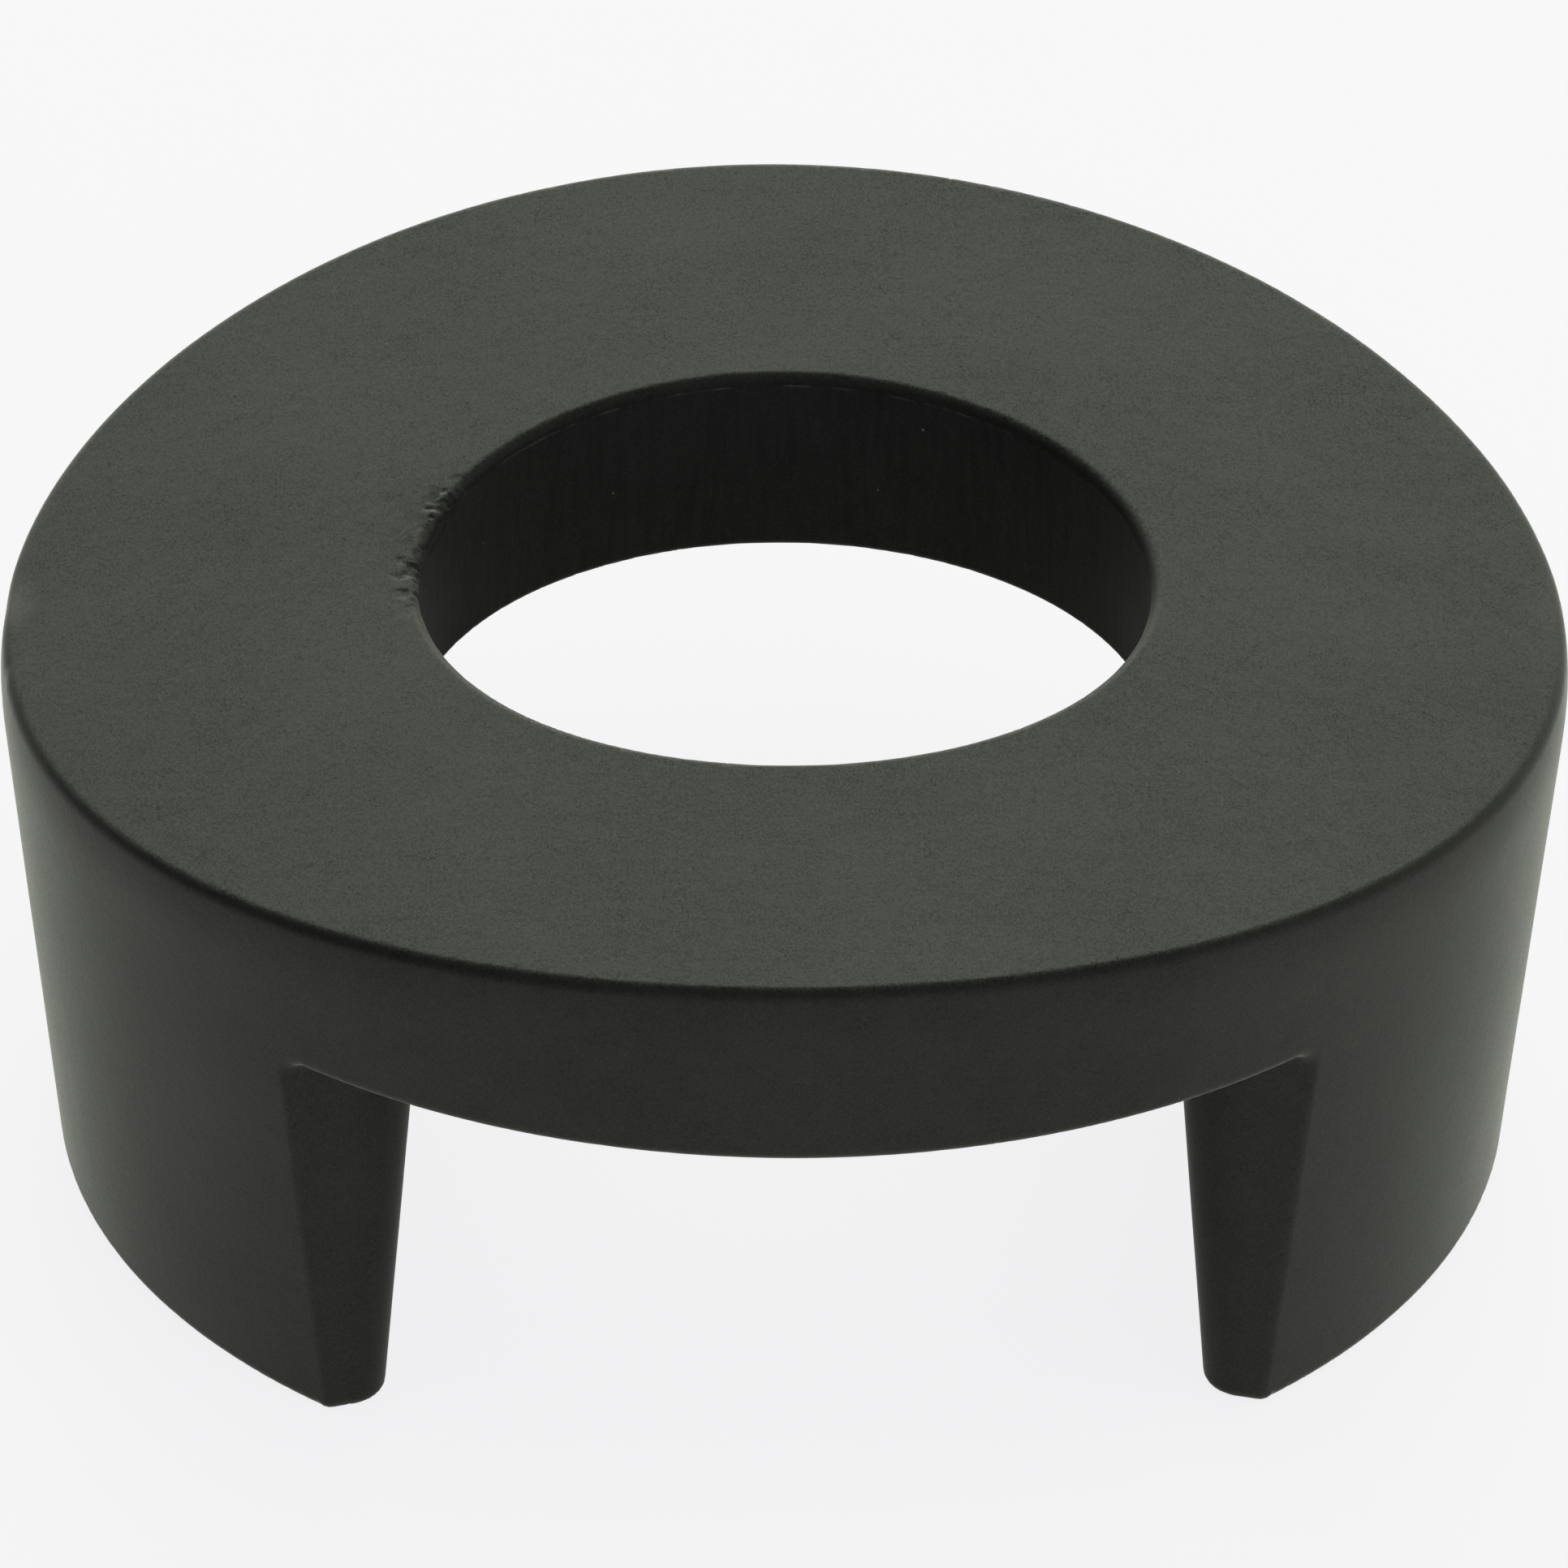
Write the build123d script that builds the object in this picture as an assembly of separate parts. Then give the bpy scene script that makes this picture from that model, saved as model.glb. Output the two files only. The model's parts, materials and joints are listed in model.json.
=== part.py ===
"""Round two-post cabinet pull: a drafted ring with an arched top on two solid feet.

Millimetres, +Z up.  The origin is on the mounting plane (the underside of the
feet), on the axis of the ring.  The feet stand at -X and +X; the finger slot
between them runs front to back along Y.
"""
from build123d import *
from math import tan, radians, cos, sin, sqrt
import os

os.makedirs("parts", exist_ok=True)

# ---------------------------------------------------------------- dimensions
# ring
height = 17.80           # mounting plane to the crest of the arched top
rim_r = 22.3             # outer wall radius at the level of the crest
wall_draft = 6.41        # outer wall leans in towards the feet, degrees
arch_r = 110.0           # radius of the top, bent about an axis along Y
plate_t = 5.76           # crest to the flat underside of the ring
rim_ease_h = 2.40        # the wall eases inwards over this height below the rim
rim_ease_w = 0.18        # by this much
rim_round = 0.60         # top outer edge

# round opening
hole_r = 10.17           # wall radius at the crest level
hole_draft = 2.5         # opening widens downwards, degrees
hole_round = 0.32        # top edge of the opening

# feet
foot_in_top = 10.47      # inner face, distance from the YZ plane at the ring
foot_in_low = 11.39      # the same at the mounting plane
end_y_top = 16.29        # end face at the outer wall, at the ring
end_y_low = 15.64        # the same at the mounting plane
end_turn = 16.0          # end faces turn towards the slot, degrees
foot_inner_round = 1.2   # upright edges on the slot side
edge_round = 0.36        # lower outer edges: ring, foot corners and mounting faces
foot_root_round = 0.5    # blend between a foot and the underside of the ring

# fastening: one blind pocket and one pressed-in threaded insert in each foot
screw_pitch = 32.0       # distance between the two screw axes
insert_r = 3.0           # knurl crest radius = pocket radius
insert_len = 8.4
insert_sink = 0.3        # insert sits this far inside the mounting face
insert_chamfer = 0.35
thread_r = 1.73          # plain bore at the tapping size of a No. 8-32 thread
thread_chamfer = 0.45
groove_w = 1.3           # plain waist between the two knurled bands
groove_d = 0.35
knurl_n = 28             # flutes round each knurled band
knurl_d = 0.22
pocket_depth = insert_sink + insert_len + 0.25
relief_r = 2.35          # room for the screw tip above the insert
relief_depth = 12.0

z_under = height - plate_t


def wall_r(z):
    """Outer wall radius at height z."""
    return rim_r - (height - z) * tan(radians(wall_draft))


# ---------------------------------------------------------------- outer form
cone = Pos(0, 0, height / 2) * Cone(wall_r(0), wall_r(height), height)
arch = Pos(0, 0, height - arch_r) * Rot(90, 0, 0) * Cylinder(arch_r, 80)
blank = cone & arch

# ---------------------------------------------------------------- feet under a slab
lap = 1.0                # feet run this far up into the slab before the union


def foot_outline(z):
    """Corners of the right foot at height z, before the outer wall trims it."""
    s = z / z_under
    x_in = foot_in_low + (foot_in_top - foot_in_low) * s
    y_end = end_y_low + (end_y_top - end_y_low) * s
    r = wall_r(z)
    x_out = sqrt(r * r - y_end * y_end)          # where the end face meets the wall
    slope = tan(radians(end_turn))
    x_far = 26.0
    return [(x_in, -(y_end - slope * (x_out - x_in))),
            (x_far, -(y_end + slope * (x_far - x_out))),
            (x_far, y_end + slope * (x_far - x_out)),
            (x_in, y_end - slope * (x_out - x_in))]


low = Plane.XY * make_face(Polyline(foot_outline(0), close=True))
high = Plane.XY.offset(z_under + lap) * make_face(Polyline(foot_outline(z_under + lap), close=True))
foot = loft([low, high])
inner_corners = [e for e in foot.edges()
                 if 9.0 < (e @ 0.5).X < 12.6 and abs((e @ 0).Z - (e @ 1).Z) > 8.0]
foot = fillet(inner_corners, foot_inner_round)

body = Pos(0, 0, z_under + 15) * Box(64, 64, 30) + foot + mirror(foot, Plane.YZ)
root = [e for e in body.edges()
        if all(abs((e @ t).Z - z_under) < 0.01 and abs((e @ t).X) < 26.5 and abs((e @ t).Y) < 30
               for t in (0, 0.5, 1))]
body = fillet(root, foot_root_round)
body = body & blank


# one round runs along the ring's lower outer edge, down the outside corners of the
# feet and round the mounting faces
def on_wall(p):
    return abs(sqrt(p.X ** 2 + p.Y ** 2) - wall_r(p.Z)) < 0.02


outline = [e for e in body.edges()
           if all((on_wall(e @ t) and (e @ t).Z < z_under + 0.02) or (e @ t).Z < 0.01
                  for t in (0.05, 0.5, 0.95))]
print("root edges", len(root), "outline edges", len(outline), "volume", round(body.volume, 1))
body = fillet(outline, edge_round)
print("after the outline round", round(body.volume, 1), body.is_valid)

# ---------------------------------------------------------------- opening
low_r = hole_r + plate_t * tan(radians(hole_draft))
bore_top = height + 1.0
bore_low = z_under - 1.5
bore = Pos(0, 0, (bore_top + bore_low) / 2) * Cone(
    hole_r + (height - bore_low) * tan(radians(hole_draft)),
    hole_r - (bore_top - height) * tan(radians(hole_draft)), bore_top - bore_low)
body = body - bore


def near(edge, r, z0, z1):
    pts = [edge @ t for t in (0.0, 0.25, 0.5, 0.75)]
    return all(abs(sqrt(p.X ** 2 + p.Y ** 2) - r) < 0.6 and z0 <= p.Z <= z1 for p in pts)


top_hole = [e for e in body.edges() if near(e, hole_r, height - 1.5, height + 0.1)]
body = fillet(top_hole, hole_round)
rim = [e for e in body.edges() if near(e, rim_r, height - 3.2, height + 0.1)]
top_face = [f for f in body.faces() if f.center().Z > height - 2.0 and f.normal_at(f.center()).Z > 0.9][0]
body = chamfer(rim, rim_ease_w, rim_ease_h, reference=top_face)
rim = [e for e in body.edges()
       if near(e, rim_r - rim_ease_w, height - 3.2, height + 0.1)
       and all(abs((e @ t).Z - (height - arch_r + sqrt(arch_r ** 2 - (e @ t).X ** 2))) < 0.05
               for t in (0.1, 0.5, 0.9))]
print("rim after the ease", len(rim), "volume", round(body.volume, 1))
body = fillet(rim, rim_round)
print("edges: hole top", len(top_hole), "rim", len(rim), "volume", round(body.volume, 1))

# ---------------------------------------------------------------- pockets
pockets = []
for side in (-1, 1):
    x = side * screw_pitch / 2
    body = body - Pos(x, 0, pocket_depth / 2 - 0.5) * Cylinder(insert_r, pocket_depth + 1.0)
    body = body - Pos(x, 0, relief_depth / 2) * Cylinder(relief_r, relief_depth)

# ---------------------------------------------------------------- inserts
def threaded_insert():
    """Knurled bush standing on z = 0, axis +Z."""
    bush = Pos(0, 0, insert_len / 2) * Cylinder(insert_r, insert_len)
    bush = chamfer(bush.edges().group_by(Axis.Z)[0] + bush.edges().group_by(Axis.Z)[-1],
                   insert_chamfer)
    waist = Pos(0, 0, insert_len / 2) * (Cylinder(insert_r + 1, groove_w)
                                         - Cylinder(insert_r - groove_d, groove_w))
    bush = bush - waist
    w = knurl_d * 1.1
    flute = Pos(0, 0, -1) * extrude(make_face(Polyline(
        (insert_r - knurl_d, 0), (insert_r + 0.3, -w * (0.3 + knurl_d) / knurl_d),
        (insert_r + 0.3, w * (0.3 + knurl_d) / knurl_d), close=True)), insert_len + 2)
    flutes = [Rot(0, 0, 360.0 * i / knurl_n) * flute for i in range(knurl_n)]
    bush = bush - flutes
    hole = Pos(0, 0, insert_len / 2) * Cylinder(thread_r, insert_len + 2)
    bush = bush - hole
    mouth = Cone(thread_r + thread_chamfer, thread_r, thread_chamfer)
    bush = bush - Pos(0, 0, thread_chamfer / 2) * mouth
    bush = bush - Pos(0, 0, insert_len - thread_chamfer / 2) * Rot(180, 0, 0) * mouth
    return bush


bush = threaded_insert()
left_insert = Pos(-screw_pitch / 2, 0, insert_sink) * bush
right_insert = Pos(screw_pitch / 2, 0, insert_sink) * bush

# ---------------------------------------------------------------- export
for name, shape in (("ring_body", body),
                    ("left_threaded_insert", left_insert),
                    ("right_threaded_insert", right_insert)):
    solids = shape.solids()
    out = solids[0] if len(solids) == 1 else Compound(solids)
    b = out.bounding_box()
    print(name, "solids", len(solids), "volume", round(out.volume, 2),
          "x %.2f..%.2f y %.2f..%.2f z %.2f..%.2f" % (b.min.X, b.max.X, b.min.Y, b.max.Y, b.min.Z, b.max.Z),
          "valid", out.is_valid)
    export_step(out, "parts/%s.step" % name)
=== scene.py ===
# Looks of the round two-post cabinet pull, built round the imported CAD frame. Metres, +Z up.
import json
import math
import bmesh
import bpy
import numpy as np
from mathutils import Matrix, Vector

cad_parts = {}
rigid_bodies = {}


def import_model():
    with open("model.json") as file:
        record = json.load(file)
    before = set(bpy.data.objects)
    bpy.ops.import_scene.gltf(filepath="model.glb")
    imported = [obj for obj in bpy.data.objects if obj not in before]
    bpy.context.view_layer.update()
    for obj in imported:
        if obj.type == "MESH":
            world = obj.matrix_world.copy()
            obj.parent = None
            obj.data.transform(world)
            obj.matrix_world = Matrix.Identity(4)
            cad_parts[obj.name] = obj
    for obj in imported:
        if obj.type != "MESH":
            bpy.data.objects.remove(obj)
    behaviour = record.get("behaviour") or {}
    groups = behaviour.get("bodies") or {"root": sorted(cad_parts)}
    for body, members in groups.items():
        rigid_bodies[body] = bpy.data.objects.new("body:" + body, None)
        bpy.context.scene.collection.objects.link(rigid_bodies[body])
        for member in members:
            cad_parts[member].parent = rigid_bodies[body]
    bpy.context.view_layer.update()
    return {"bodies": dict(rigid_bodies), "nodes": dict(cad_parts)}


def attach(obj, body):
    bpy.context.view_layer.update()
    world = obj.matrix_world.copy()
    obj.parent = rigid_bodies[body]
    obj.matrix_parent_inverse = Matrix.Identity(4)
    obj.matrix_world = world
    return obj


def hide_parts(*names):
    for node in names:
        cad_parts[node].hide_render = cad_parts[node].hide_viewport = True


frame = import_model()
scene = bpy.context.scene
MM = 0.001



# ---------------------------------------------------------------- form of the casting
# Distances in millimetres, with the dimensions of the CAD part; the rim is eased along a curve
# instead of one bevel, so its round is a little smaller. Each call gives a signed distance
# (below 0 inside the metal) and the direction out of the surface.
HEIGHT, RIM_R, DRAFT = 17.80, 22.3, math.radians(6.41)
ARCH_R, Z_UNDER = 110.0, 12.04
EASE_H, EASE_W = 2.30, 0.25            # the wall eases inwards below the rim
HOLE_R, HOLE_DRAFT = 10.17, math.radians(2.5)
FOOT_IN_TOP, FOOT_IN_LOW = 10.47, 11.39
END_Y_TOP, END_Y_LOW, END_SLOPE = 16.29, 15.64, math.tan(math.radians(16.0))
RIM_ROUND, HOLE_ROUND, HOLE_LOW_ROUND = 0.40, 0.32, 0.26
EDGE_ROUND, ROOT_ROUND, INNER_ROUND, POCKET_ROUND = 0.36, 0.50, 1.20, 0.12
SCREW_X, POCKET_R, POCKET_TOP, RELIEF_R, RELIEF_TOP = 16.0, 3.0, 8.95, 2.35, 12.0


def both(a, na, b, nb, r):
    """What lies inside a and b, its shared edge rounded to radius r."""
    c = np.clip((na * nb).sum(1), -0.9, 0.9)
    u, v = a + r, b + r
    den = 1 - c * c
    al, be = (u - c * v) / den, (v - c * u) / den
    arc = (al > 0) & (be > 0)
    far = np.sqrt(np.maximum(u * u + v * v - 2 * c * u * v, 1e-12) / den)
    d = np.where(arc, far - r, np.maximum(a, b))
    n = np.where(arc[:, None], al[:, None] * na + be[:, None] * nb, np.where((a > b)[:, None], na, nb))
    return d, n / np.linalg.norm(n, axis=1, keepdims=True)


def either(a, na, b, nb, r):
    """What lies inside a or b, its inside corner filled to radius r."""
    d, n = both(-a, -na, -b, -nb, r)
    return -d, -n


def wall_r(z):
    return RIM_R - (HEIGHT - z) * math.tan(DRAFT)


def end_line(z, y_end):
    return y_end - END_SLOPE * np.sqrt(wall_r(z) ** 2 - y_end ** 2)


LAP = Z_UNDER + 1.0
END_K0 = end_line(0.0, END_Y_LOW)
END_K1 = end_line(LAP, END_Y_LOW + (END_Y_TOP - END_Y_LOW) * LAP / Z_UNDER)
END_RISE = (END_K1 - END_K0) / LAP
IN_RISE = (FOOT_IN_TOP - FOOT_IN_LOW) / Z_UNDER


def vec(x, y, z):
    return np.stack(np.broadcast_arrays(x, y, z), 1)


def casting(p):
    x, y, z = p[:, 0], p[:, 1], p[:, 2]
    one = np.ones_like(x)
    r = np.maximum(np.hypot(x, y), 1e-6)
    sx, sy = np.where(x < 0, -1.0, 1.0), np.where(y < 0, -1.0, 1.0)
    # outer wall under the arched top
    hang = np.sqrt(np.maximum(ARCH_R ** 2 - x * x, 1.0))
    ease = np.maximum(0, 1 - (HEIGHT - ARCH_R + hang - z) / EASE_H)
    fall = 3 * EASE_W * ease ** 2 / EASE_H
    gx, gy, gz = x / r + fall * x / hang, y / r, fall - math.tan(DRAFT)
    g = np.sqrt(gx * gx + gy * gy + gz * gz)
    wall, n_wall = (r - wall_r(z) + EASE_W * ease ** 3) / g, vec(gx / g, gy / g, gz / g)
    zc = z - (HEIGHT - ARCH_R)
    q = np.hypot(x, zc)
    d, n = both(wall, n_wall, q - ARCH_R, vec(x / q, 0 * one, zc / q), RIM_ROUND)
    # feet under the flat underside
    s = math.sqrt(1 + IN_RISE ** 2)
    inner, n_in = (FOOT_IN_LOW + IN_RISE * z - abs(x)) / s, vec(-sx / s, 0 * one, IN_RISE / s * one)
    s = math.sqrt(1 + END_SLOPE ** 2 + END_RISE ** 2)
    end = (abs(y) - END_SLOPE * abs(x) - END_K0 - END_RISE * z) / s
    n_end = vec(-END_SLOPE * sx / s, sy / s, -END_RISE / s * one)
    foot, n_foot = both(inner, n_in, end, n_end, INNER_ROUND)
    low, n_low = either(foot, n_foot, Z_UNDER - z, vec(0 * one, 0 * one, -one), ROOT_ROUND)
    low, n_low = both(low, n_low, -z, vec(0 * one, 0 * one, -one), EDGE_ROUND)
    d, n = both(d, n, low, n_low, EDGE_ROUND)
    # round opening, a little softer at its top edge than below
    bore = (HOLE_R + (HEIGHT - z) * math.tan(HOLE_DRAFT) - r) * math.cos(HOLE_DRAFT)
    n_bore = vec(-x / r * math.cos(HOLE_DRAFT), -y / r * math.cos(HOLE_DRAFT), -math.sin(HOLE_DRAFT) * one)
    t = np.clip((z - 13.5) / 2.5, 0, 1)
    d, n = both(d, n, bore, n_bore, HOLE_LOW_ROUND + (HOLE_ROUND - HOLE_LOW_ROUND) * t)
    # pockets for the inserts
    px = abs(x) - SCREW_X
    rho = np.maximum(np.hypot(px, y), 1e-6)
    radial = vec(sx * px / rho, y / rho, 0 * one)
    up = vec(0 * one, 0 * one, one)
    wide, deep = rho - POCKET_R, z - POCKET_TOP
    a, na = np.maximum(wide, deep), np.where((wide > deep)[:, None], radial, up)
    thin, tall = rho - RELIEF_R, z - RELIEF_TOP
    b, nb = np.maximum(thin, tall), np.where((thin > tall)[:, None], radial, up)
    cut, n_cut = np.minimum(a, b), np.where((a < b)[:, None], na, nb)
    return both(d, n, -cut, -n_cut, POCKET_ROUND)

# ---------------------------------------------------------------- what the coating does to the form
def lattice(i, j, k, seed):
    h = (i * 374761393 + j * 668265263 + k * 2147483647 + seed * 1274126177) & 0xFFFFFFFF
    h = ((h ^ (h >> 13)) * 1274126177) & 0xFFFFFFFF
    return ((h ^ (h >> 16)) & 0xFFFF) / 32767.5 - 1.0


def noise(p, size, seed=0):
    """Smooth noise from -1 to 1 with features about size millimetres wide."""
    q = p / size
    f = np.floor(q)
    t = q - f
    t = t * t * t * (t * (t * 6 - 15) + 10)
    i, j, k = (f[:, a].astype(np.int64) for a in range(3))
    total = 0
    for a in (0, 1):
        wa = t[:, 0] if a else 1 - t[:, 0]
        for b in (0, 1):
            wb = t[:, 1] if b else 1 - t[:, 1]
            for c in (0, 1):
                wc = t[:, 2] if c else 1 - t[:, 2]
                total = total + wa * wb * wc * lattice(i + a, j + b, k + c, seed)
    return total


def hole_edge(angle, inset=0.0, drop=0.0):
    """A point on the top edge of the opening, angle in degrees from +X towards the back."""
    a = math.radians(angle)
    r = HOLE_R + inset
    x, y = r * math.cos(a), r * math.sin(a)
    return np.array([x, y, HEIGHT - ARCH_R + math.sqrt(ARCH_R ** 2 - x * x) - drop])


# bites out of the coating along the left top edge of the opening: angle, inset, drop, size
BITES = [(176.8, 0.26, -0.12, 0.20), (174.2, 0.32, -0.13, 0.18), (160.2, 0.22, -0.11, 0.18), (40.0, 0.10, 0.04, 0.11)]


def rough_zone(p):
    """1 along the chipped left part of the opening's top edge, 0 elsewhere."""
    x, y, z = p[:, 0], p[:, 1], p[:, 2]
    r = np.hypot(x, y)
    a = np.degrees(np.arctan2(y, x)) % 360
    along = np.clip(1 - abs(a - 168) / 24, 0, 1)
    top = HEIGHT - ARCH_R + np.sqrt(np.maximum(ARCH_R ** 2 - x * x, 1))
    off = np.hypot(r - (HOLE_R + 0.15), z - (top - 0.15))
    return np.minimum(1, 2 * along) * np.clip(1.6 - off / 0.42, 0, 1)


def coated(p):
    """The casting with its coating: a slight wave all over, a thick soft spot on the left rim
    and small bites out of the opening's left edge."""
    d, n = casting(p)
    near = abs(d) < 1.5
    w = np.zeros(len(p))
    q = p[near]
    w[near] = 0.0045 * noise(q, 2.7, 1) + 0.0018 * noise(q, 1.1, 2)
    # dull knocks on the left rim
    for cx, cy, cz, size, depth in ((-21.95, 2.0, 15.45, 1.1, 0.035), (-22.0, -1.6, 15.45, 0.5, 0.045)):
        s = ((p[:, 0] - cx) ** 2 + ((p[:, 1] - cy) / 1.4) ** 2 + (p[:, 2] - cz) ** 2) / size ** 2
        w = w + depth * np.exp(-2.5 * s)
    rough = rough_zone(p)
    hit = rough > 0
    if hit.any():
        q = p[hit]
        chip = np.clip((noise(q, 0.45, 5) + 0.35 * noise(q, 0.22, 6) + 0.15) / 0.75, 0, 1)
        w[hit] += rough[hit] * (0.055 * chip * chip * (3 - 2 * chip) + 0.006 * noise(q, 0.25, 7))
    d = d + w
    close = np.hypot(p[:, 0], p[:, 1]) < HOLE_R + 1.2
    if close.any():
        q, dq, nq = p[close], d[close], n[close]
        for angle, inset, drop, size in BITES:
            v = q - hole_edge(angle, inset, drop)
            far = np.maximum(np.linalg.norm(v, axis=1), 1e-6)
            k = far < size * 2.2
            if k.any():
                e, ne = both(dq[k], nq[k], size - far[k], -v[k] / far[k, None], 0.05)
                dq[k], nq[k] = e, ne
        d[close], n[close] = dq, nq
    return d, n

# ---------------------------------------------------------------- mesh of the casting
def values(p, chunk=60000):
    out = [coated(p[i:i + chunk]) for i in range(0, len(p), chunk)]
    return np.concatenate([o[0] for o in out]), np.concatenate([o[1] for o in out])


def to_surface(p, times=3):
    for _ in range(times):
        d, n = values(p)
        p = p - d[:, None] * n
    return p, n


def surface_normals(p, h=0.012):
    g = np.stack([values(p + e)[0] - values(p - e)[0] for e in np.eye(3) * h], 1)
    return g / np.linalg.norm(g, axis=1, keepdims=True)


def co_of(me):
    co = np.empty(len(me.vertices) * 3)
    me.vertices.foreach_get("co", co)
    return co.reshape(-1, 3)


def edges_of(me):
    e = np.empty(len(me.edges) * 2, np.int64)
    me.edges.foreach_get("vertices", e)
    return e.reshape(-1, 2)


def relax(p, e, rounds):
    """Evens out the spacing of the points while they stay on the surface."""
    deg = np.bincount(e.ravel(), minlength=len(p)).astype(float)[:, None]
    for _ in range(rounds):
        s = np.stack([np.bincount(e[:, 0], p[e[:, 1], k], len(p)) + np.bincount(e[:, 1], p[e[:, 0], k], len(p))
                      for k in range(3)], 1)
        move = s / deg - p
        p, n = to_surface(p, 1)
        move -= (move * n).sum(1, keepdims=True) * n
        p = p + 0.6 * move
        p, n = to_surface(p, 1)
    return to_surface(p, 3)[0]


def base_mesh(source, pitch):
    """An even mesh of quads in millimetres, laid round the CAD casting."""
    me = source.data.copy()
    me.transform(Matrix.Scale(1000, 4))
    bm = bmesh.new()
    bm.from_mesh(me)
    bmesh.ops.remove_doubles(bm, verts=bm.verts, dist=1e-4)
    bm.to_mesh(me)
    bm.free()
    o = bpy.data.objects.new("base", me)
    scene.collection.objects.link(o)
    mod = o.modifiers.new("even", "REMESH")
    mod.mode, mod.voxel_size, mod.adaptivity = "VOXEL", pitch, 0.0
    dg = bpy.context.evaluated_depsgraph_get()
    made = bpy.data.meshes.new_from_object(o.evaluated_get(dg))
    bpy.data.objects.remove(o)
    return made


def refine(me, wanted, cuts):
    """Cuts the faces that wanted(centres, spread of normals) picks into smaller ones."""
    p = co_of(me)
    n = surface_normals(p)
    loops = np.empty(len(me.loops), np.int64)
    me.loops.foreach_get("vertex_index", loops)
    start = np.empty(len(me.polygons), np.int64)
    me.polygons.foreach_get("loop_start", start)
    mean = np.add.reduceat(n[loops], start, axis=0)
    count = np.diff(np.append(start, len(loops)))[:, None]
    centre = np.add.reduceat(p[loops], start, axis=0) / count
    flat = np.linalg.norm(mean / count, axis=1)          # 1 where all corners face the same way
    pick = wanted(centre, flat)
    bm = bmesh.new()
    bm.from_mesh(me)
    bm.faces.ensure_lookup_table()
    chosen = set()
    for i in np.flatnonzero(pick):
        chosen.update(bm.faces[i].edges)
    bmesh.ops.subdivide_edges(bm, edges=sorted(chosen, key=lambda e: e.index), cuts=cuts, use_grid_fill=True)
    bm.to_mesh(me)
    bm.free()
    q = co_of(me)
    q, _ = to_surface(q, 3)
    me.vertices.foreach_set("co", q.ravel())
    return me

# ---------------------------------------------------------------- threaded inserts
INSERT_R, INSERT_LEN, INSERT_SINK = 3.0, 8.4, 0.3
MINOR_R, MAJOR_R, PITCH = 1.73, 2.06, 0.794


def insert_mesh(name, cx):
    """A knurled brass bush with a real No. 8-32 thread in it, as one closed surface."""
    flutes, per = 28, 6
    count = flutes * per
    th = np.arange(count) * 2 * math.pi / count
    ridge = np.abs(((th * flutes / (2 * math.pi)) % 1) - 0.5) * 2      # 1 at a crest, 0 in a groove
    rows = []                                                          # (radius by angle, height by angle)

    def ring(r, z, knurl=0.0):
        rows.append((np.full(count, r) - knurl * (1 - ridge) ** 1.3, np.full(count, z)))

    lo, hi = 0.0, INSERT_LEN
    # outside, going up
    for r, z, k in ((2.12, 0.015, 0), (2.30, 0.0, 0), (2.62, 0.0, 0), (2.665, 0.02, 0), (2.83, 0.19, 0.05), (2.97, 0.33, 0.20), (2.985, 0.42, 0.22)):
        ring(r, z, k)
    for z in np.linspace(0.7, 3.36, 9):
        ring(2.985, z, 0.22)
    for r, z, k in ((2.975, 3.50, 0.20), (2.82, 3.56, 0.07), (2.66, 3.62, 0), (2.65, 3.70, 0), (2.65, 4.20, 0), (2.65, 4.70, 0), (2.66, 4.78, 0), (2.82, 4.84, 0.07), (2.975, 4.90, 0.20)):
        ring(r, z, k)
    for z in np.linspace(5.04, 7.7, 9):
        ring(2.985, z, 0.22)
    for r, z, k in ((2.985, 7.98, 0.22), (2.97, 8.07, 0.20), (2.83, 8.21, 0.05), (2.665, 8.38, 0), (2.62, 8.4, 0), (2.30, 8.4, 0), (2.12, 8.385, 0)):
        ring(r, z, k)
    # inside, going down: the thread is a helix, so each row's radius depends on the angle
    z_rows = np.linspace(hi - 0.04, lo + 0.04, 12 * 11 + 1)
    for z in z_rows:
        turn = (z / PITCH - th / (2 * math.pi)) % 1
        tri = 1 - abs(turn - 0.5) * 2                                  # 0 at the crest, 1 at the root
        depth = np.clip((tri - 0.12) / 0.76, 0, 1)
        r = MINOR_R + (MAJOR_R - MINOR_R) * depth
        mouth = np.maximum(0.0, 0.42 - np.minimum(z - lo, hi - z))     # countersink at both ends
        rows.append((np.maximum(r, MINOR_R + mouth * 0.98), np.full(count, z)))
    co = np.concatenate([np.stack([r * np.cos(th), r * np.sin(th), z], 1) for r, z in rows])
    co = (co + np.array([cx, 0, INSERT_SINK])) * MM
    faces, total = [], len(rows)
    for i in range(total):
        a, b = i * count, ((i + 1) % total) * count
        for j in range(count):
            k = (j + 1) % count
            faces.append((a + j, a + k, b + k, b + j))
    me = bpy.data.meshes.new(name)
    me.from_pydata(co.tolist(), [], faces)
    me.update()
    me.shade_smooth()
    me.set_sharp_from_angle(angle=math.radians(38))
    o = bpy.data.objects.new(name, me)
    scene.collection.objects.link(o)
    return o

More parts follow.
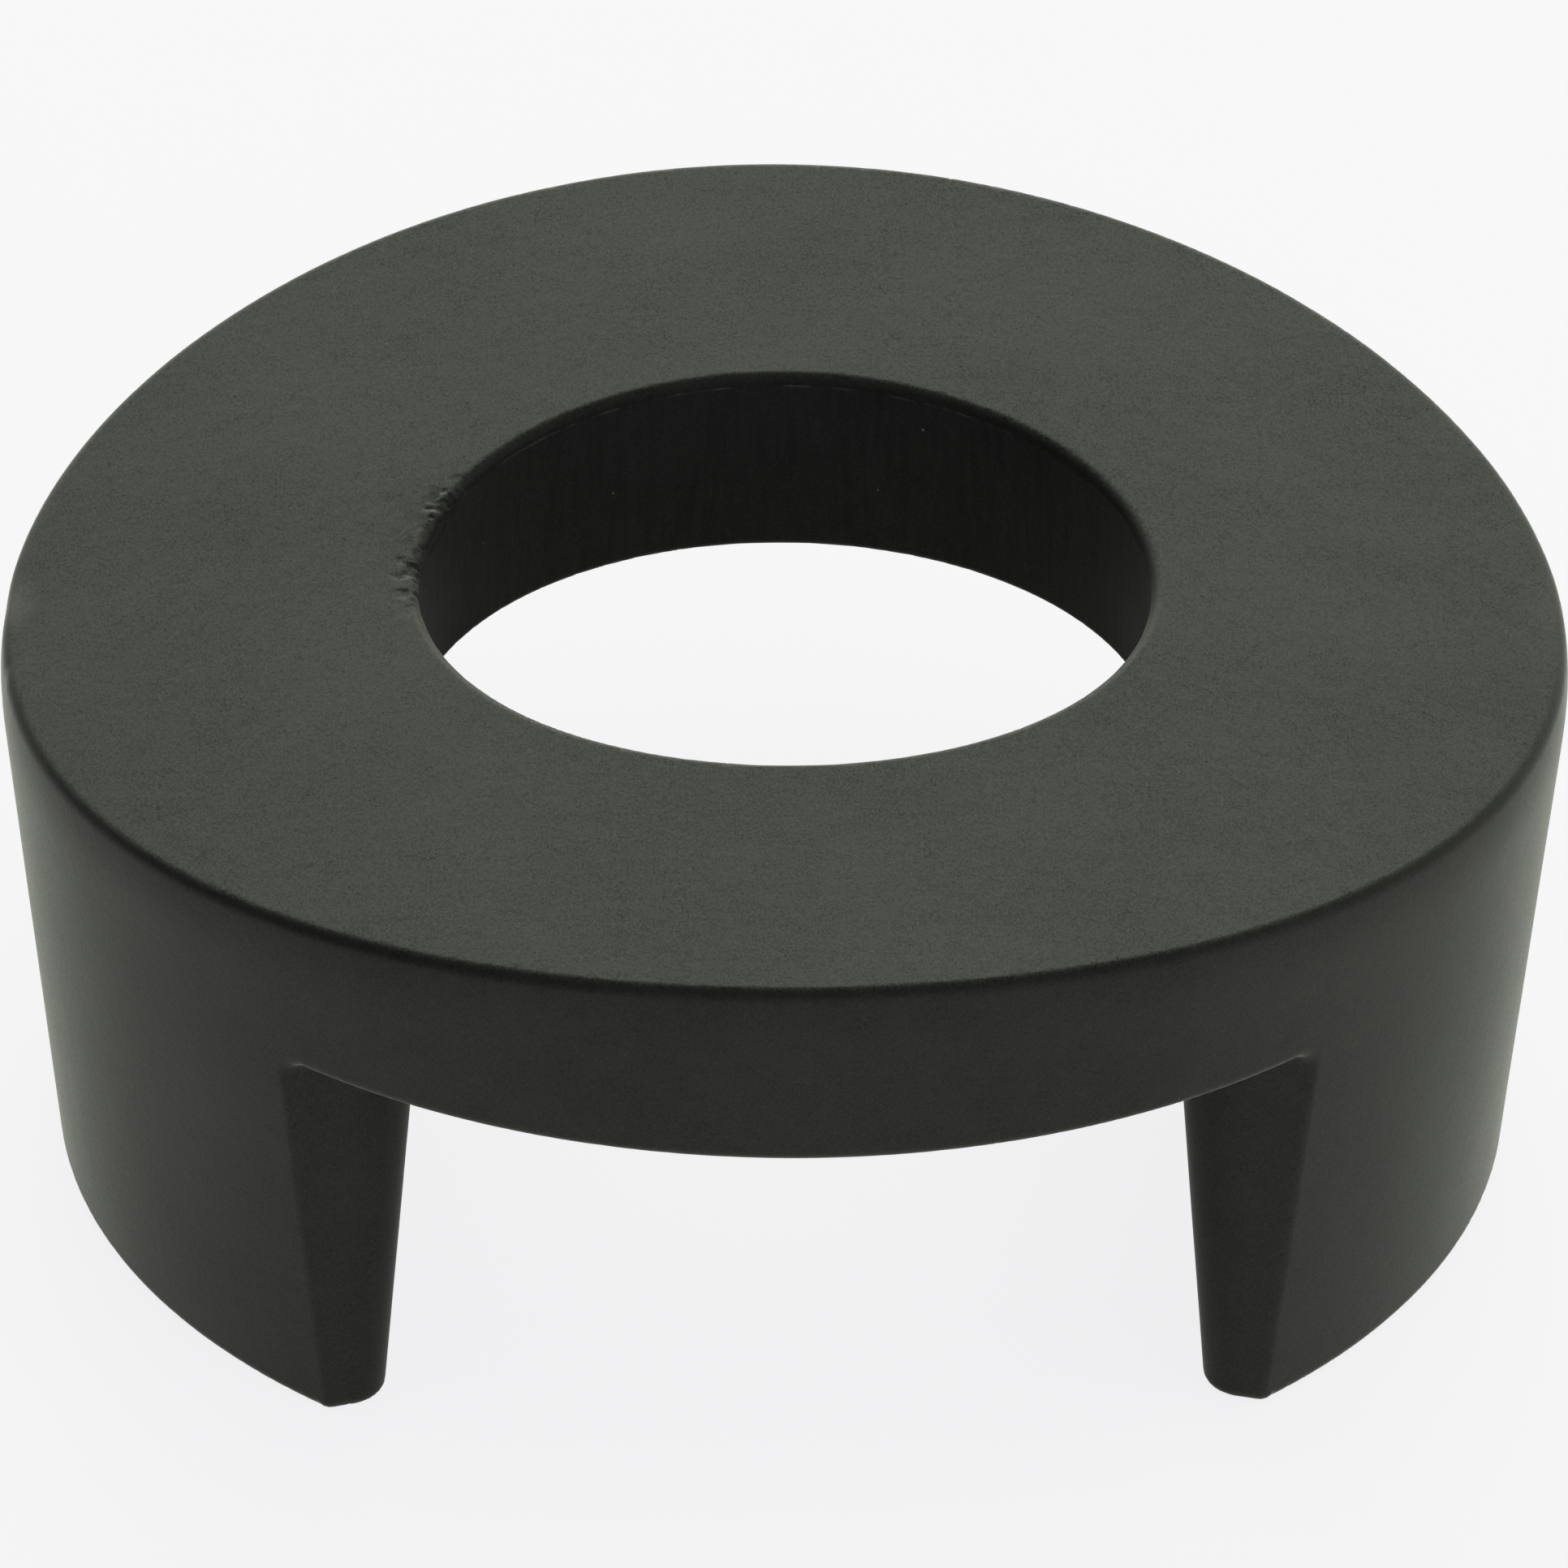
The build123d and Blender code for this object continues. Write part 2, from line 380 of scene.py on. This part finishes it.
# ---------------------------------------------------------------- finishes
class Graph:
    """Short calls for building a node material."""

    def __init__(self, name):
        self.m = bpy.data.materials.new(name)
        self.m.use_nodes = True
        self.nodes, self.links = self.m.node_tree.nodes, self.m.node_tree.links
        self.nodes.clear()
        self.out = self.nodes.new("ShaderNodeOutputMaterial")
        self.bsdf = self.nodes.new("ShaderNodeBsdfPrincipled")
        self.links.new(self.bsdf.outputs[0], self.out.inputs[0])
        coords = self.nodes.new("ShaderNodeTexCoord")
        self.mm = self.vector("MULTIPLY", coords.outputs["Object"], (1000, 1000, 1000))
        self.normal = self.nodes.new("ShaderNodeNewGeometry").outputs["Normal"]

    def put(self, socket, value):
        if hasattr(value, "is_output"):
            self.links.new(value, socket)
        else:
            socket.default_value = value

    def vector(self, op, a, b):
        n = self.nodes.new("ShaderNodeVectorMath")
        n.operation = op
        self.put(n.inputs[0], a)
        self.put(n.inputs[1], b)
        return n.outputs["Value"] if op in ("LENGTH", "DISTANCE", "DOT_PRODUCT") else n.outputs["Vector"]

    def math(self, op, a, b=0.0, c=0.0, clamp=False):
        n = self.nodes.new("ShaderNodeMath")
        n.operation, n.use_clamp = op, clamp
        for s, v in zip(n.inputs, (a, b, c)):
            self.put(s, v)
        return n.outputs[0]

    def split(self, v):
        n = self.nodes.new("ShaderNodeSeparateXYZ")
        self.put(n.inputs[0], v)
        return n.outputs

    def noise(self, at, scale, detail=2.0, rough=0.5):
        n = self.nodes.new("ShaderNodeTexNoise")
        n.noise_dimensions = "3D"
        self.put(n.inputs["Vector"], at)
        n.inputs["Scale"].default_value = scale
        n.inputs["Detail"].default_value = detail
        n.inputs["Roughness"].default_value = rough
        return n.outputs["Fac"]

    def remap(self, v, a, b, c=0.0, d=1.0):
        n = self.nodes.new("ShaderNodeMapRange")
        n.clamp = True
        for s, x in zip((n.inputs["Value"], n.inputs["From Min"], n.inputs["From Max"], n.inputs["To Min"], n.inputs["To Max"]), (v, a, b, c, d)):
            self.put(s, x)
        return n.outputs["Result"]

    def mix(self, f, a, b):
        n = self.nodes.new("ShaderNodeMix")
        n.data_type = "RGBA"
        self.put(n.inputs["Factor"], f)
        self.put(n.inputs[6], a)
        self.put(n.inputs[7], b)
        return n.outputs[2]

    def specks(self, at, scale, share, radius, seed):
        """Round specks: 1 inside one, 0 elsewhere. scale is cells per millimetre."""
        v = self.nodes.new("ShaderNodeTexVoronoi")
        v.voronoi_dimensions, v.feature = "3D", "F1"
        self.put(v.inputs["Vector"], self.vector("ADD", at, (seed * 7.3, seed * 3.1, seed * 5.7)))
        v.inputs["Scale"].default_value = scale
        v.inputs["Randomness"].default_value = 1.0
        pick = self.nodes.new("ShaderNodeSeparateColor")
        self.put(pick.inputs[0], v.outputs["Color"])
        has = self.math("LESS_THAN", pick.outputs[0], share)
        size = self.math("MULTIPLY", self.math("ADD", pick.outputs[1], 0.35), radius * scale)
        inside = self.remap(self.math("DIVIDE", v.outputs["Distance"], size), 0.75, 1.1, 1.0, 0.0)
        return self.math("MULTIPLY", has, inside)


def spot(g, centre, size, stretch=(1, 1, 1)):
    """Soft patch round a point in millimetres."""
    v = g.vector("MULTIPLY", g.vector("SUBTRACT", g.mm, centre), tuple(1.0 / (size * s) for s in stretch))
    return g.remap(g.vector("LENGTH", v, (0, 0, 0)), 0.15, 1.0, 1.0, 0.0)


def black_coating():
    g = Graph("black_powder_coat")
    x, y, z = g.split(g.mm)[:3]
    nx, ny, nz = g.split(g.normal)[:3]
    flat = g.vector("MULTIPLY", g.mm, (1, 1, 0))
    r = g.vector("LENGTH", flat, (0, 0, 0))
    # inside of the opening, and partly on the inner sides of the feet: painted shade in these recesses, as lower gloss
    # and sheen, on a rougher coating that holds dust
    bore = g.math("MULTIPLY", g.remap(r, 10.62, 10.80, 1.0, 0.0), g.remap(g.math("ABSOLUTE", nz), 0.25, 0.70, 1.0, 0.0))
    slot = g.math("MULTIPLY", g.remap(g.math("ABSOLUTE", x), 11.5, 12.5, 1.0, 0.0), g.remap(z, 11.9, 12.2, 1.0, 0.0))
    dull = g.math("MAXIMUM", bore, g.math("MULTIPLY", slot, 0.6))
    grain = g.noise(g.vector("MULTIPLY", g.mm, (1, 0.6, 1)), 14.0, 2.0, 0.6)
    fine = g.noise(g.vector("MULTIPLY", g.mm, (1, 0.6, 1)), 26.0, 1.0, 0.5)
    mottle = g.noise(g.mm, 1.3, 3.0, 0.55)
    cloud = g.noise(g.mm, 0.16, 2.0, 0.5)
    streak = g.noise(g.vector("MULTIPLY", g.mm, (0.35, 6.0, 3.0)), 1.0, 2.0, 0.5)        # faint polishing lines across the top
    drawn = g.noise(g.vector("MULTIPLY", g.mm, (5.0, 5.0, 0.35)), 1.0, 3.0, 0.6)         # upright lines in the opening
    level = g.math("ADD", g.remap(grain, 0.25, 0.75, -0.24, 0.24), g.remap(fine, 0.3, 0.7, -0.12, 0.12))
    level = g.math("ADD", level, g.remap(mottle, 0.3, 0.7, -0.08, 0.08))
    topside = g.remap(nz, 0.8, 0.97, 0.0, 1.0)
    level = g.math("MULTIPLY", level, g.remap(topside, 0, 1, 1.1, 2.5))
    level = g.math("ADD", level, g.remap(cloud, 0.3, 0.7, -0.07, 0.07))
    level = g.math("ADD", level, g.math("MULTIPLY", topside, g.remap(streak, 0.3, 0.7, -0.025, 0.025)))
    level = g.math("ADD", level, g.math("MULTIPLY", bore, g.remap(drawn, 0.35, 0.65, -0.08, 0.10)))
    level = g.math("ADD", 1.0, level)
    base = g.vector("MULTIPLY", g.mix(dull, COAT_COLOUR, BORE_COLOUR), (1, 1, 1))
    scaled = g.nodes.new("ShaderNodeVectorMath")
    scaled.operation = "SCALE"
    g.put(scaled.inputs[0], base)
    g.put(scaled.inputs["Scale"], level)
    colour = scaled.outputs["Vector"]
    # dust, pinholes in the coating and small rubs, with painted light in the opening and a painted highlight along its
    # top edge
    dust = g.math("MAXIMUM", g.specks(g.mm, 0.55, 0.16, 0.030, 1), g.math("MULTIPLY", bore, g.specks(g.mm, 1.6, 0.22, 0.040, 2)))
    colour = g.mix(g.math("MULTIPLY", dust, 0.60), colour, (0.20, 0.20, 0.18, 1))
    # painted light: lighter patches low on the side walls of the opening, where light from below would reach
    bore_painted_light = g.math("MAXIMUM", spot(g, (-9.7, 3.4, 14.0), 2.6, (1, 1.1, 0.8)), g.math("MULTIPLY", 0.8, spot(g, (9.8, 3.2, 14.0), 2.2, (1, 1.1, 0.8))))
    bore_painted_light = g.math("MULTIPLY", g.math("MULTIPLY", bore_painted_light, bore), g.remap(mottle, 0.30, 0.66, 0.25, 1.0))
    colour = g.mix(g.math("MULTIPLY", bore_painted_light, 0.22), colour, (0.062, 0.060, 0.054, 1))
    # painted highlight: a broken light line round the top edge of the opening, 0.31 mm below the top
    fall = g.math("SUBTRACT", g.math("SUBTRACT", HEIGHT, g.math("MULTIPLY", g.math("MULTIPLY", x, x), 0.5 / ARCH_R)), z)
    painted_edge_highlight = g.math("MULTIPLY", g.remap(g.math("ABSOLUTE", g.math("SUBTRACT", fall, 0.31)), 0.01, 0.05, 1.0, 0.0), g.remap(g.noise(g.mm, 0.9, 4.0, 0.7), 0.46, 0.60, 0.0, 1.0))
    painted_edge_highlight = g.math("MULTIPLY", painted_edge_highlight, g.remap(r, 10.42, 10.60, 1.0, 0.0))
    colour = g.mix(g.math("MULTIPLY", painted_edge_highlight, 0.40), colour, (0.13, 0.13, 0.12, 1))
    worn = g.math("MULTIPLY", spot(g, (-9.9, 2.3, 17.1), 3.4, (0.45, 1.25, 0.5)), g.remap(g.noise(g.mm, 3.0, 3.0, 0.6), 0.42, 0.60, 0.0, 1.0))
    pin = g.specks(g.mm, 0.8, 0.10, 0.035, 3)
    colour = g.mix(g.math("MULTIPLY", pin, 0.7), colour, (0.004, 0.004, 0.004, 1))
    rub = g.math("MAXIMUM", spot(g, (-21.6, 2.0, 15.7), 1.5, (0.6, 1.2, 1.0)), spot(g, (-21.9, -1.6, 15.6), 0.45))
    rub = g.math("MAXIMUM", rub, g.math("MULTIPLY", 0.3, spot(g, (21.4, 1.2, 15.6), 1.4, (0.7, 1.3, 1.0))))
    colour = g.mix(g.math("MULTIPLY", rub, 0.65), colour, (0.085, 0.089, 0.080, 1))
    g.put(g.bsdf.inputs["Base Color"], colour)
    rough = g.math("ADD", COAT_ROUGH, g.remap(grain, 0.25, 0.75, -0.05, 0.05))
    rough = g.math("ADD", rough, g.remap(mottle, 0.3, 0.7, -0.03, 0.03))
    rough = g.math("ADD", rough, g.math("MULTIPLY", bore, 0.20))
    rough = g.math("SUBTRACT", rough, g.math("MULTIPLY", rub, 0.06))
    g.put(g.bsdf.inputs["Roughness"], g.math("MINIMUM", rough, 0.95))
    g.bsdf.inputs["IOR"].default_value = COAT_IOR
    g.bsdf.inputs["Specular Tint"].default_value = COAT_TINT
    # painted shade: gloss and sheen drop where dull is high, inside the opening and on the inner sides of the feet,
    # darkening these recesses
    g.put(g.bsdf.inputs["Specular IOR Level"], g.math("MULTIPLY", g.math("MULTIPLY", level, g.remap(worn, 0, 1, 1.0, 0.45)), g.remap(dull, 0, 1, 0.5, RECESS_SHADE_GLOSS)))
    g.put(g.bsdf.inputs["Sheen Weight"], g.math("MULTIPLY", g.math("MULTIPLY", level, g.remap(worn, 0, 1, 1.0, 0.35)), g.remap(dull, 0, 1, COAT_SHEEN, 0.0)))
    g.bsdf.inputs["Sheen Roughness"].default_value = COAT_SHEEN_ROUGH
    g.bsdf.inputs["Sheen Tint"].default_value = COAT_TINT
    # powder-coat skin: fine orange peel and the grain of the powder
    peel = g.noise(g.mm, 3.4, 2.0, 0.5)
    height = g.math("ADD", g.math("MULTIPLY", peel, 0.0050), g.math("MULTIPLY", grain, 0.0024))
    bump = g.nodes.new("ShaderNodeBump")
    bump.inputs["Strength"].default_value = 1.0
    bump.inputs["Distance"].default_value = MM
    g.put(bump.inputs["Height"], height)
    g.put(g.bsdf.inputs["Normal"], bump.outputs[0])
    return g.m


def brass():
    g = Graph("turned_brass")
    x, y, z = g.split(g.mm)[:3]
    turned = g.noise(g.vector("MULTIPLY", g.mm, (0.4, 0.4, 22.0)), 1.0, 2.0, 0.5)
    dull = g.noise(g.mm, 1.6, 4.0, 0.6)
    grain = g.noise(g.mm, 12.0, 2.0, 0.5)
    colour = g.mix(g.remap(dull, 0.35, 0.7), (0.72, 0.53, 0.26, 1), (0.50, 0.34, 0.16, 1))
    colour = g.mix(g.remap(grain, 0.55, 0.8, 0.0, 0.35), colour, (0.36, 0.25, 0.13, 1))
    g.put(g.bsdf.inputs["Base Color"], colour)
    g.bsdf.inputs["Metallic"].default_value = 1.0
    g.put(g.bsdf.inputs["Roughness"], g.math("ADD", g.remap(dull, 0.3, 0.7, 0.26, 0.42), g.remap(turned, 0.3, 0.7, -0.05, 0.05)))
    bump = g.nodes.new("ShaderNodeBump")
    bump.inputs["Strength"].default_value = 1.0
    bump.inputs["Distance"].default_value = MM
    g.put(bump.inputs["Height"], g.math("ADD", g.math("MULTIPLY", turned, 0.004), g.math("MULTIPLY", grain, 0.0015)))
    g.put(g.bsdf.inputs["Normal"], bump.outputs[0])
    return g.m

# ---------------------------------------------------------------- camera, floor and light
def make_camera():
    """Looks down at 32 degrees from the front, from about 0.8 m, through a long lens."""
    e, yaw, roll, unit = 0.5618, 0.0313, 0.0085, 22.3 * MM
    right = Vector((math.cos(yaw), -math.sin(yaw), 0))
    ahead = Vector((math.sin(yaw), math.cos(yaw), 0))
    z = Vector((0, 0, 1))
    up = ahead * math.sin(e) + z * math.cos(e)
    fwd = ahead * math.cos(e) - z * math.sin(e)
    at = Vector((0, 0, HEIGHT * MM)) + unit * (0.0008 * right - 0.2717 * up - 1.015 * 35 * fwd)
    right2 = math.cos(roll) * right + math.sin(roll) * up
    up2 = -math.sin(roll) * right + math.cos(roll) * up
    m = Matrix.Identity(4)
    for i in range(3):
        m[i][0], m[i][1], m[i][2], m[i][3] = right2[i], up2[i], -fwd[i], at[i]
    cam = bpy.data.cameras.new("camera")
    cam.lens, cam.sensor_width, cam.sensor_fit = 652.2, 36.0, "HORIZONTAL"
    cam.clip_start, cam.clip_end = 0.01, 20.0
    o = bpy.data.objects.new("camera", cam)
    scene.collection.objects.link(o)
    o.matrix_world = m
    scene.camera = o


def make_floor():
    me = bpy.data.meshes.new("floor")
    s = 3.0
    me.from_pydata([(-s, -s, 0), (s, -s, 0), (s, s, 0), (-s, s, 0)], [], [(0, 1, 2, 3)])
    o = bpy.data.objects.new("floor", me)
    scene.collection.objects.link(o)
    m = bpy.data.materials.new("pale_floor")
    m.use_nodes = True
    nodes, links = m.node_tree.nodes, m.node_tree.links
    nodes.clear()
    out, clear = nodes.new("ShaderNodeOutputMaterial"), nodes.new("ShaderNodeBsdfTransparent")
    geo, path = nodes.new("ShaderNodeNewGeometry"), nodes.new("ShaderNodeLightPath")

    def sheet(colour, glow, tint):
        dif, lit, plus = nodes.new("ShaderNodeBsdfDiffuse"), nodes.new("ShaderNodeEmission"), nodes.new("ShaderNodeAddShader")
        dif.inputs["Color"].default_value = (colour, colour, colour, 1)
        lit.inputs["Color"].default_value = [glow * t for t in tint] + [1]
        links.new(dif.outputs[0], plus.inputs[0])
        links.new(lit.outputs[0], plus.inputs[1])
        return plus.outputs[0]

    def choose(flag, a, b):
        mix = nodes.new("ShaderNodeMixShader")
        links.new(flag, mix.inputs[0])
        links.new(a, mix.inputs[1])
        links.new(b, mix.inputs[2])
        return mix.outputs[0]

    # a pale sheet lit through from below; the camera sees its shading softened,
    # and from underneath it is clear
    seen = choose(path.outputs["Is Camera Ray"], sheet(0.80, FLOOR_GLOW, (0.99, 1.00, 0.975)), sheet(*FLOOR_SEEN, (1.00, 0.99, 1.01)))
    links.new(choose(geo.outputs["Backfacing"], seen, clear.outputs[0]), out.inputs[0])
    me.materials.append(m)


# soft lights far away: azimuth from behind (+Y) towards +X, elevation, sharpness, strength.
# Those behind and overhead are very slightly green.
LIGHTS = [(0, 90, 4, 0.45), (0, 10, 12, 3.56), (45, 10, 12, 0.68), (90, 10, 12, 0.62), (135, 10, 12, 0.55),
          (180, 10, 12, 0.72), (270, 10, 12, 0.08)]
BEHIND, AROUND = (0.99, 1.03, 0.915), (1.03, 0.925, 1.10)
FLOOR_GLOW, FLOOR_SEEN = 0.445, (0.30, 0.83)
BACKDROP = (0.96, 0.96, 0.96, 1)


def make_world():
    world = bpy.data.worlds.new("studio")
    scene.world = world
    world.use_nodes = True
    nodes, links = world.node_tree.nodes, world.node_tree.links
    nodes.clear()
    out = nodes.new("ShaderNodeOutputWorld")
    coords = nodes.new("ShaderNodeTexCoord")
    total = None
    for az, el, sharp, strength in LIGHTS:
        a, e = math.radians(az), math.radians(el)
        dot = nodes.new("ShaderNodeVectorMath")
        dot.operation = "DOT_PRODUCT"
        links.new(coords.outputs["Generated"], dot.inputs[0])
        dot.inputs[1].default_value = (math.sin(a) * math.cos(e), math.cos(a) * math.cos(e), math.sin(e))
        near = nodes.new("ShaderNodeMath")
        near.operation = "MULTIPLY_ADD"
        links.new(dot.outputs["Value"], near.inputs[0])
        near.inputs[1].default_value, near.inputs[2].default_value = sharp, -sharp
        soft = nodes.new("ShaderNodeMath")
        soft.operation = "EXPONENT"
        links.new(near.outputs[0], soft.inputs[0])
        tint = nodes.new("ShaderNodeVectorMath")
        tint.operation = "SCALE"
        tint.inputs[0].default_value = [strength * c for c in (BEHIND if az < 100 else AROUND)]
        links.new(soft.outputs[0], tint.inputs["Scale"])
        soft = tint
        if total is None:
            total = soft.outputs[0]
        else:
            plus = nodes.new("ShaderNodeVectorMath")
            plus.operation = "ADD"
            links.new(total, plus.inputs[0])
            links.new(soft.outputs[0], plus.inputs[1])
            total = plus.outputs[0]
    light, plain = nodes.new("ShaderNodeBackground"), nodes.new("ShaderNodeBackground")
    links.new(total, light.inputs["Color"])
    plain.inputs["Color"].default_value = BACKDROP
    path, mix = nodes.new("ShaderNodeLightPath"), nodes.new("ShaderNodeMixShader")
    links.new(path.outputs["Is Camera Ray"], mix.inputs[0])
    links.new(light.outputs[0], mix.inputs[1])
    links.new(plain.outputs[0], mix.inputs[2])
    links.new(mix.outputs[0], out.inputs[0])

# ---------------------------------------------------------------- build
COAT_COLOUR, BORE_COLOUR = (0.0100, 0.0105, 0.0092, 1), (0.0200, 0.0198, 0.0196, 1)
COAT_ROUGH, COAT_IOR = 0.55, 1.42
COAT_SHEEN, COAT_SHEEN_ROUGH, COAT_TINT = 0.6, 0.30, (0.95, 1.0, 0.87, 1)
# specular level in the recesses that are darkened as painted shade
RECESS_SHADE_GLOSS = 0.18


coat, metal = black_coating(), brass()


def make_casting():
    me = base_mesh(frame["nodes"]["ring_body"], 0.42)
    p, e = co_of(me), edges_of(me)
    p, _ = to_surface(p, 4)
    me.vertices.foreach_set("co", relax(p, e, 5).ravel())
    refine(me, lambda c, f: f < 0.9982, 2)
    me.vertices.foreach_set("co", relax(co_of(me), edges_of(me), 3).ravel())
    refine(me, lambda c, f: rough_zone(c) > 0.25, 1)
    me.vertices.foreach_set("co", relax(co_of(me), edges_of(me), 2).ravel())
    p = co_of(me)
    normals = surface_normals(p)
    me.transform(Matrix.Scale(MM, 4))
    bm = bmesh.new()
    bm.from_mesh(me)
    many = [f for f in bm.faces if len(f.verts) > 4]
    bmesh.ops.triangulate(bm, faces=many)
    bm.to_mesh(me)
    bm.free()
    me.materials.clear()
    me.materials.append(coat)
    me.shade_smooth()
    me.normals_split_custom_set_from_vertices(normals.tolist())
    me.name = "coated_casting"
    o = bpy.data.objects.new("coated_casting", me)
    scene.collection.objects.link(o)
    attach(o, "root" if "root" in frame["bodies"] else list(frame["bodies"])[0])
    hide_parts("ring_body")
    return o


casting_piece = make_casting()
body = "root" if "root" in frame["bodies"] else list(frame["bodies"])[0]
for side, x in (("left", -SCREW_X), ("right", SCREW_X)):
    o = insert_mesh(side + "_brass_insert", x)
    o.data.materials.append(metal)
    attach(o, body)
    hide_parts(side + "_threaded_insert")
for n, o in frame["nodes"].items():                 # the hidden CAD nodes carry the same finishes
    for slot in o.material_slots:
        slot.material = coat if n == "ring_body" else metal

make_camera()
make_floor()
make_world()
scene.view_settings.view_transform = "Standard"
